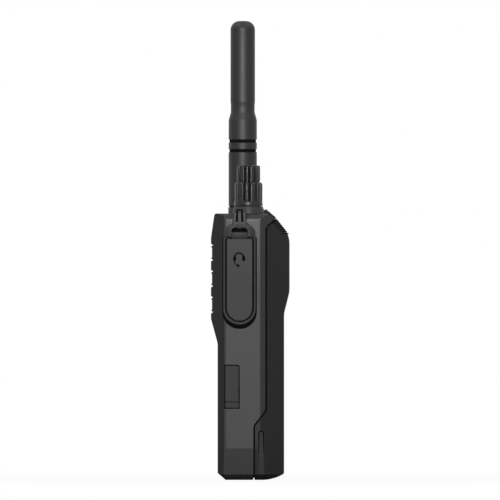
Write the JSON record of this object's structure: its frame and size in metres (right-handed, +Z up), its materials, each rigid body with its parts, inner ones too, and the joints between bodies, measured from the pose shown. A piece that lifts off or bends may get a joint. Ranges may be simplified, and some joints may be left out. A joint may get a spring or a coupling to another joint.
{
  "type": "portable two-way radio",
  "caption": "Hand-held two-way radio with stub antenna, fluted volume and channel knobs, push-to-talk button, hinged accessory port cover and tilt-off battery.",
  "frame": {"origin": "centre of the bounding box on the base the radio stands on", "axes": "+Z up along the antenna, -Y the front with the speaker, +Y the battery, +X the accessory port side, -X the push-to-talk side"},
  "size_m": [0.0576, 0.0376, 0.2199],
  "materials": {
    "casing": "fine moulded texture, satin black",
    "front_casing": "fine moulded texture, black",
    "battery_casing": "fine moulded texture, black",
    "inlay": "smooth matte black, bare",
    "control_plastic": "satin black, moulded flutes",
    "button_rubber": "matte black rubber",
    "cover_rubber": "matte black rubber",
    "seal_rubber": "plain black rubber",
    "antenna_rubber": "satin black moulded rubber",
    "cast_aluminium": "as cast",
    "cell_can": "drawn can, wrapped",
    "brass": "turned",
    "contact_gold": "gold plated",
    "steel": "zinc plated",
    "tinned_steel": "tinned sheet",
    "board": "solder mask over glass fibre",
    "insulator": "moulded insulator",
    "lens": "clear light pipe",
    "cone": "pressed film cone",
    "screen": "fine black dust cloth"
  },
  "bodies": {
    "radio": {"front_cover": "front_casing", "main_housing": "casing", "side_inlay": "inlay", "badge_plate": "inlay", "status_lens": "lens", "cover_retainer": "cover_rubber", "dust_cover_pin": "steel", "accessory_connector": "insulator", "jack_sleeve_large": "brass", "jack_sleeve_small": "brass", "ptt_switch": "insulator", "key_switches": "insulator", "volume_pot": "steel", "channel_switch": "steel", "control_nuts": "brass", "antenna_socket": "brass", "chassis": "cast_aluminium", "main_seal": "seal_rubber", "chassis_screws": "steel", "main_board": "board", "board_screws": "steel", "shield_can_radio": "tinned_steel", "shield_can_logic": "tinned_steel", "contact_block": "insulator", "contact_pins": "contact_gold", "speaker_frame": "steel", "speaker_cone": "cone", "speaker_magnet": "steel", "speaker_screen": "screen", "microphone_boot": "seal_rubber", "microphone": "steel"},
    "volume_knob": {"volume_knob": "control_plastic", "volume_shaft": "steel"},
    "channel_knob": {"channel_knob": "control_plastic", "channel_shaft": "steel"},
    "ptt_button": {"ptt_button": "button_rubber"},
    "side_key_upper": {"side_key_upper": "button_rubber"},
    "side_key_lower": {"side_key_lower": "button_rubber"},
    "dust_cover": {"dust_cover": "cover_rubber", "dust_cover_seal": "seal_rubber"},
    "battery": {"battery_case": "battery_casing", "battery_lid": "battery_casing", "battery_pads": "contact_gold", "battery_board": "board", "battery_cells": "cell_can", "charge_contacts": "contact_gold"},
    "battery_latch": {"battery_latch": "control_plastic", "latch_plate": "steel"},
    "antenna_washer": {"antenna_washer": "seal_rubber"},
    "antenna": {"antenna_sheath": "antenna_rubber", "antenna_stud": "brass", "antenna_core": "steel"}
  },
  "joints": [
    {"name": "volume_turn", "type": "hinge", "parent": "radio", "child": "volume_knob", "pos_m": [0.016, -0.00088, 0.131], "axis": [0, 0, -1], "range_deg": [0, 270]},
    {"name": "channel_turn", "type": "hinge", "parent": "radio", "child": "channel_knob", "pos_m": [-0.0005, -0.00088, 0.131], "axis": [0, 0, -1], "range_deg": [0, 337.5]},
    {"name": "ptt_press", "type": "slide", "parent": "radio", "child": "ptt_button", "axis": [1, 0, 0], "range_m": [0, 0.001], "stiffness_N_per_m": 2000, "springref_m": -0.0005},
    {"name": "upper_key_press", "type": "slide", "parent": "radio", "child": "side_key_upper", "axis": [1, 0, 0], "range_m": [0, 0.0006], "stiffness_N_per_m": 2500, "springref_m": -0.0003},
    {"name": "lower_key_press", "type": "slide", "parent": "radio", "child": "side_key_lower", "axis": [1, 0, 0], "range_m": [0, 0.0006], "stiffness_N_per_m": 2500, "springref_m": -0.0003},
    {"name": "dust_cover_swing", "type": "hinge", "parent": "radio", "child": "dust_cover", "pos_m": [0.0279, -0.0051, 0.1177], "axis": [0, -1, 0], "range_deg": [0, 100]},
    {"name": "battery_tilt", "type": "hinge", "parent": "radio", "child": "battery", "pos_m": [0, 0.00236, 0.0006], "axis": [-1, 0, 0], "range_deg": [0, 20]},
    {"name": "latch_slide", "type": "slide", "parent": "radio", "child": "battery_latch", "axis": [0, -1, 0], "range_m": [0, 0.0015], "stiffness_N_per_m": 1200, "springref_m": -0.0006},
    {"name": "antenna_rise", "type": "slide", "parent": "radio", "child": "antenna_washer", "axis": [0, 0, 1], "range_m": [0, 0.006]},
    {"name": "antenna_unscrew", "type": "hinge", "parent": "antenna_washer", "child": "antenna", "pos_m": [-0.0172, -0.0036, 0.1305], "axis": [0, 0, 1], "range_deg": [0, 2162]}
  ],
  "couplings": [
    {"joint": "antenna_unscrew", "follows": "antenna_rise", "rad_per_m": 6283.2}
  ]
}
